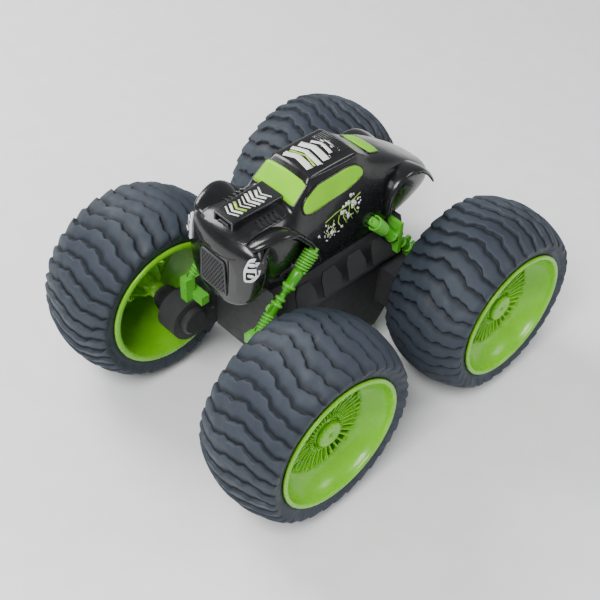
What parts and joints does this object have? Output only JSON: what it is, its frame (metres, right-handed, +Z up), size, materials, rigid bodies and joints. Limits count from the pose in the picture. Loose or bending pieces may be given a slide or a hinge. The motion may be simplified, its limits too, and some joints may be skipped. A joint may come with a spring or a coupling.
{
  "type": "remote control stunt car",
  "caption": "Radio-controlled stunt car with large balloon tyres on geared arms, a small hot-rod pickup body and dummy shock absorbers.",
  "frame": {"origin": "on the ground, midway between the four wheels", "axes": "+X to the car's left, -Y to its front, +Z up"},
  "size_m": [0.218, 0.287, 0.176],
  "materials": {
    "tyre_rubber": "matte",
    "lime_plastic": "gloss",
    "shock_plastic": "gloss",
    "gear_plastic": "satin",
    "brass": "satin",
    "steel": "satin",
    "motor_can": "satin",
    "chassis_plastic": "satin",
    "battery_wrap": "satin",
    "circuit_board": "satin",
    "body_gloss": "gloss",
    "lime_window": "gloss",
    "grille_mesh": "satin",
    "lamp_silver": "gloss"
  },
  "bodies": {
    "chassis": {"axle_bushes": "brass", "axle_end_caps": "chassis_plastic", "battery_door": "chassis_plastic", "battery_pack": "battery_wrap", "body_posts": "chassis_plastic", "body_shell": "body_gloss", "case_screws": "steel", "charge_socket": "chassis_plastic", "chassis_deck": "chassis_plastic", "chassis_tub": "chassis_plastic", "circuit_board": "circuit_board", "drive_motors": "motor_can", "gear_pins": "steel", "gearbox_arm_front_left": "chassis_plastic", "gearbox_arm_front_right": "chassis_plastic", "gearbox_arm_rear_left": "chassis_plastic", "gearbox_arm_rear_right": "chassis_plastic", "gearbox_cover_front_left": "chassis_plastic", "gearbox_cover_front_right": "chassis_plastic", "gearbox_cover_rear_left": "chassis_plastic", "gearbox_cover_rear_right": "chassis_plastic", "grille": "grille_mesh", "headlamps": "lamp_silver", "hood_scoop": "body_gloss", "shock_absorber_front_left": "shock_plastic", "shock_absorber_front_right": "shock_plastic", "shock_absorber_rear_left": "shock_plastic", "shock_absorber_rear_right": "shock_plastic", "shock_brackets": "shock_plastic", "switch_case": "steel", "window_insert": "lime_window"},
    "wheel_front_left": {"tyre_front_left": "tyre_rubber", "rim_front_left": "lime_plastic", "hub_cap_front_left": "lime_plastic", "axle_front_left": "steel", "axle_gear_front_left": "gear_plastic"},
    "cluster_front_left": {"cluster_gear_front_left": "gear_plastic"},
    "pinion_front_left": {"motor_pinion_front_left": "brass"},
    "wheel_front_right": {"tyre_front_right": "tyre_rubber", "rim_front_right": "lime_plastic", "hub_cap_front_right": "lime_plastic", "axle_front_right": "steel", "axle_gear_front_right": "gear_plastic"},
    "cluster_front_right": {"cluster_gear_front_right": "gear_plastic"},
    "pinion_front_right": {"motor_pinion_front_right": "brass"},
    "wheel_rear_left": {"tyre_rear_left": "tyre_rubber", "rim_rear_left": "lime_plastic", "hub_cap_rear_left": "lime_plastic", "axle_rear_left": "steel", "axle_gear_rear_left": "gear_plastic"},
    "cluster_rear_left": {"cluster_gear_rear_left": "gear_plastic"},
    "pinion_rear_left": {"motor_pinion_rear_left": "brass"},
    "wheel_rear_right": {"tyre_rear_right": "tyre_rubber", "rim_rear_right": "lime_plastic", "hub_cap_rear_right": "lime_plastic", "axle_rear_right": "steel", "axle_gear_rear_right": "gear_plastic"},
    "cluster_rear_right": {"cluster_gear_rear_right": "gear_plastic"},
    "pinion_rear_right": {"motor_pinion_rear_right": "brass"},
    "switch": {"switch_slider": "chassis_plastic"}
  },
  "joints": [
    {"name": "wheel_front_left_spin", "type": "hinge", "parent": "chassis", "child": "wheel_front_left", "pos_m": [0.0775, -0.0785, 0.065], "axis": [1, 0, 0], "continuous": true},
    {"name": "cluster_front_left_spin", "type": "hinge", "parent": "chassis", "child": "cluster_front_left", "pos_m": [0.032, -0.0617, 0.065], "axis": [1, 0, 0], "continuous": true},
    {"name": "pinion_front_left_spin", "type": "hinge", "parent": "chassis", "child": "pinion_front_left", "pos_m": [0.032, -0.0457, 0.065], "axis": [1, 0, 0], "continuous": true},
    {"name": "wheel_front_right_spin", "type": "hinge", "parent": "chassis", "child": "wheel_front_right", "pos_m": [-0.0775, -0.0785, 0.065], "axis": [1, 0, 0], "continuous": true},
    {"name": "cluster_front_right_spin", "type": "hinge", "parent": "chassis", "child": "cluster_front_right", "pos_m": [-0.032, -0.0617, 0.065], "axis": [1, 0, 0], "continuous": true},
    {"name": "pinion_front_right_spin", "type": "hinge", "parent": "chassis", "child": "pinion_front_right", "pos_m": [-0.032, -0.0457, 0.065], "axis": [1, 0, 0], "continuous": true},
    {"name": "wheel_rear_left_spin", "type": "hinge", "parent": "chassis", "child": "wheel_rear_left", "pos_m": [0.0775, 0.0785, 0.065], "axis": [1, 0, 0], "continuous": true},
    {"name": "cluster_rear_left_spin", "type": "hinge", "parent": "chassis", "child": "cluster_rear_left", "pos_m": [0.032, 0.0617, 0.065], "axis": [1, 0, 0], "continuous": true},
    {"name": "pinion_rear_left_spin", "type": "hinge", "parent": "chassis", "child": "pinion_rear_left", "pos_m": [0.032, 0.0457, 0.065], "axis": [1, 0, 0], "continuous": true},
    {"name": "wheel_rear_right_spin", "type": "hinge", "parent": "chassis", "child": "wheel_rear_right", "pos_m": [-0.0775, 0.0785, 0.065], "axis": [1, 0, 0], "continuous": true},
    {"name": "cluster_rear_right_spin", "type": "hinge", "parent": "chassis", "child": "cluster_rear_right", "pos_m": [-0.032, 0.0617, 0.065], "axis": [1, 0, 0], "continuous": true},
    {"name": "pinion_rear_right_spin", "type": "hinge", "parent": "chassis", "child": "pinion_rear_right", "pos_m": [-0.032, 0.0457, 0.065], "axis": [1, 0, 0], "continuous": true},
    {"name": "power_switch_slide", "type": "slide", "parent": "chassis", "child": "switch", "axis": [-1, 0, 0], "range_m": [0, 0.004]}
  ],
  "couplings": [
    {"joint": "cluster_front_left_spin", "follows": "wheel_front_left_spin", "ratio": -2.5},
    {"joint": "pinion_front_left_spin", "follows": "wheel_front_left_spin", "ratio": 7.5},
    {"joint": "cluster_front_right_spin", "follows": "wheel_front_right_spin", "ratio": -2.5},
    {"joint": "pinion_front_right_spin", "follows": "wheel_front_right_spin", "ratio": 7.5},
    {"joint": "cluster_rear_left_spin", "follows": "wheel_rear_left_spin", "ratio": -2.5},
    {"joint": "pinion_rear_left_spin", "follows": "wheel_rear_left_spin", "ratio": 7.5},
    {"joint": "cluster_rear_right_spin", "follows": "wheel_rear_right_spin", "ratio": -2.5},
    {"joint": "pinion_rear_right_spin", "follows": "wheel_rear_right_spin", "ratio": 7.5}
  ]
}
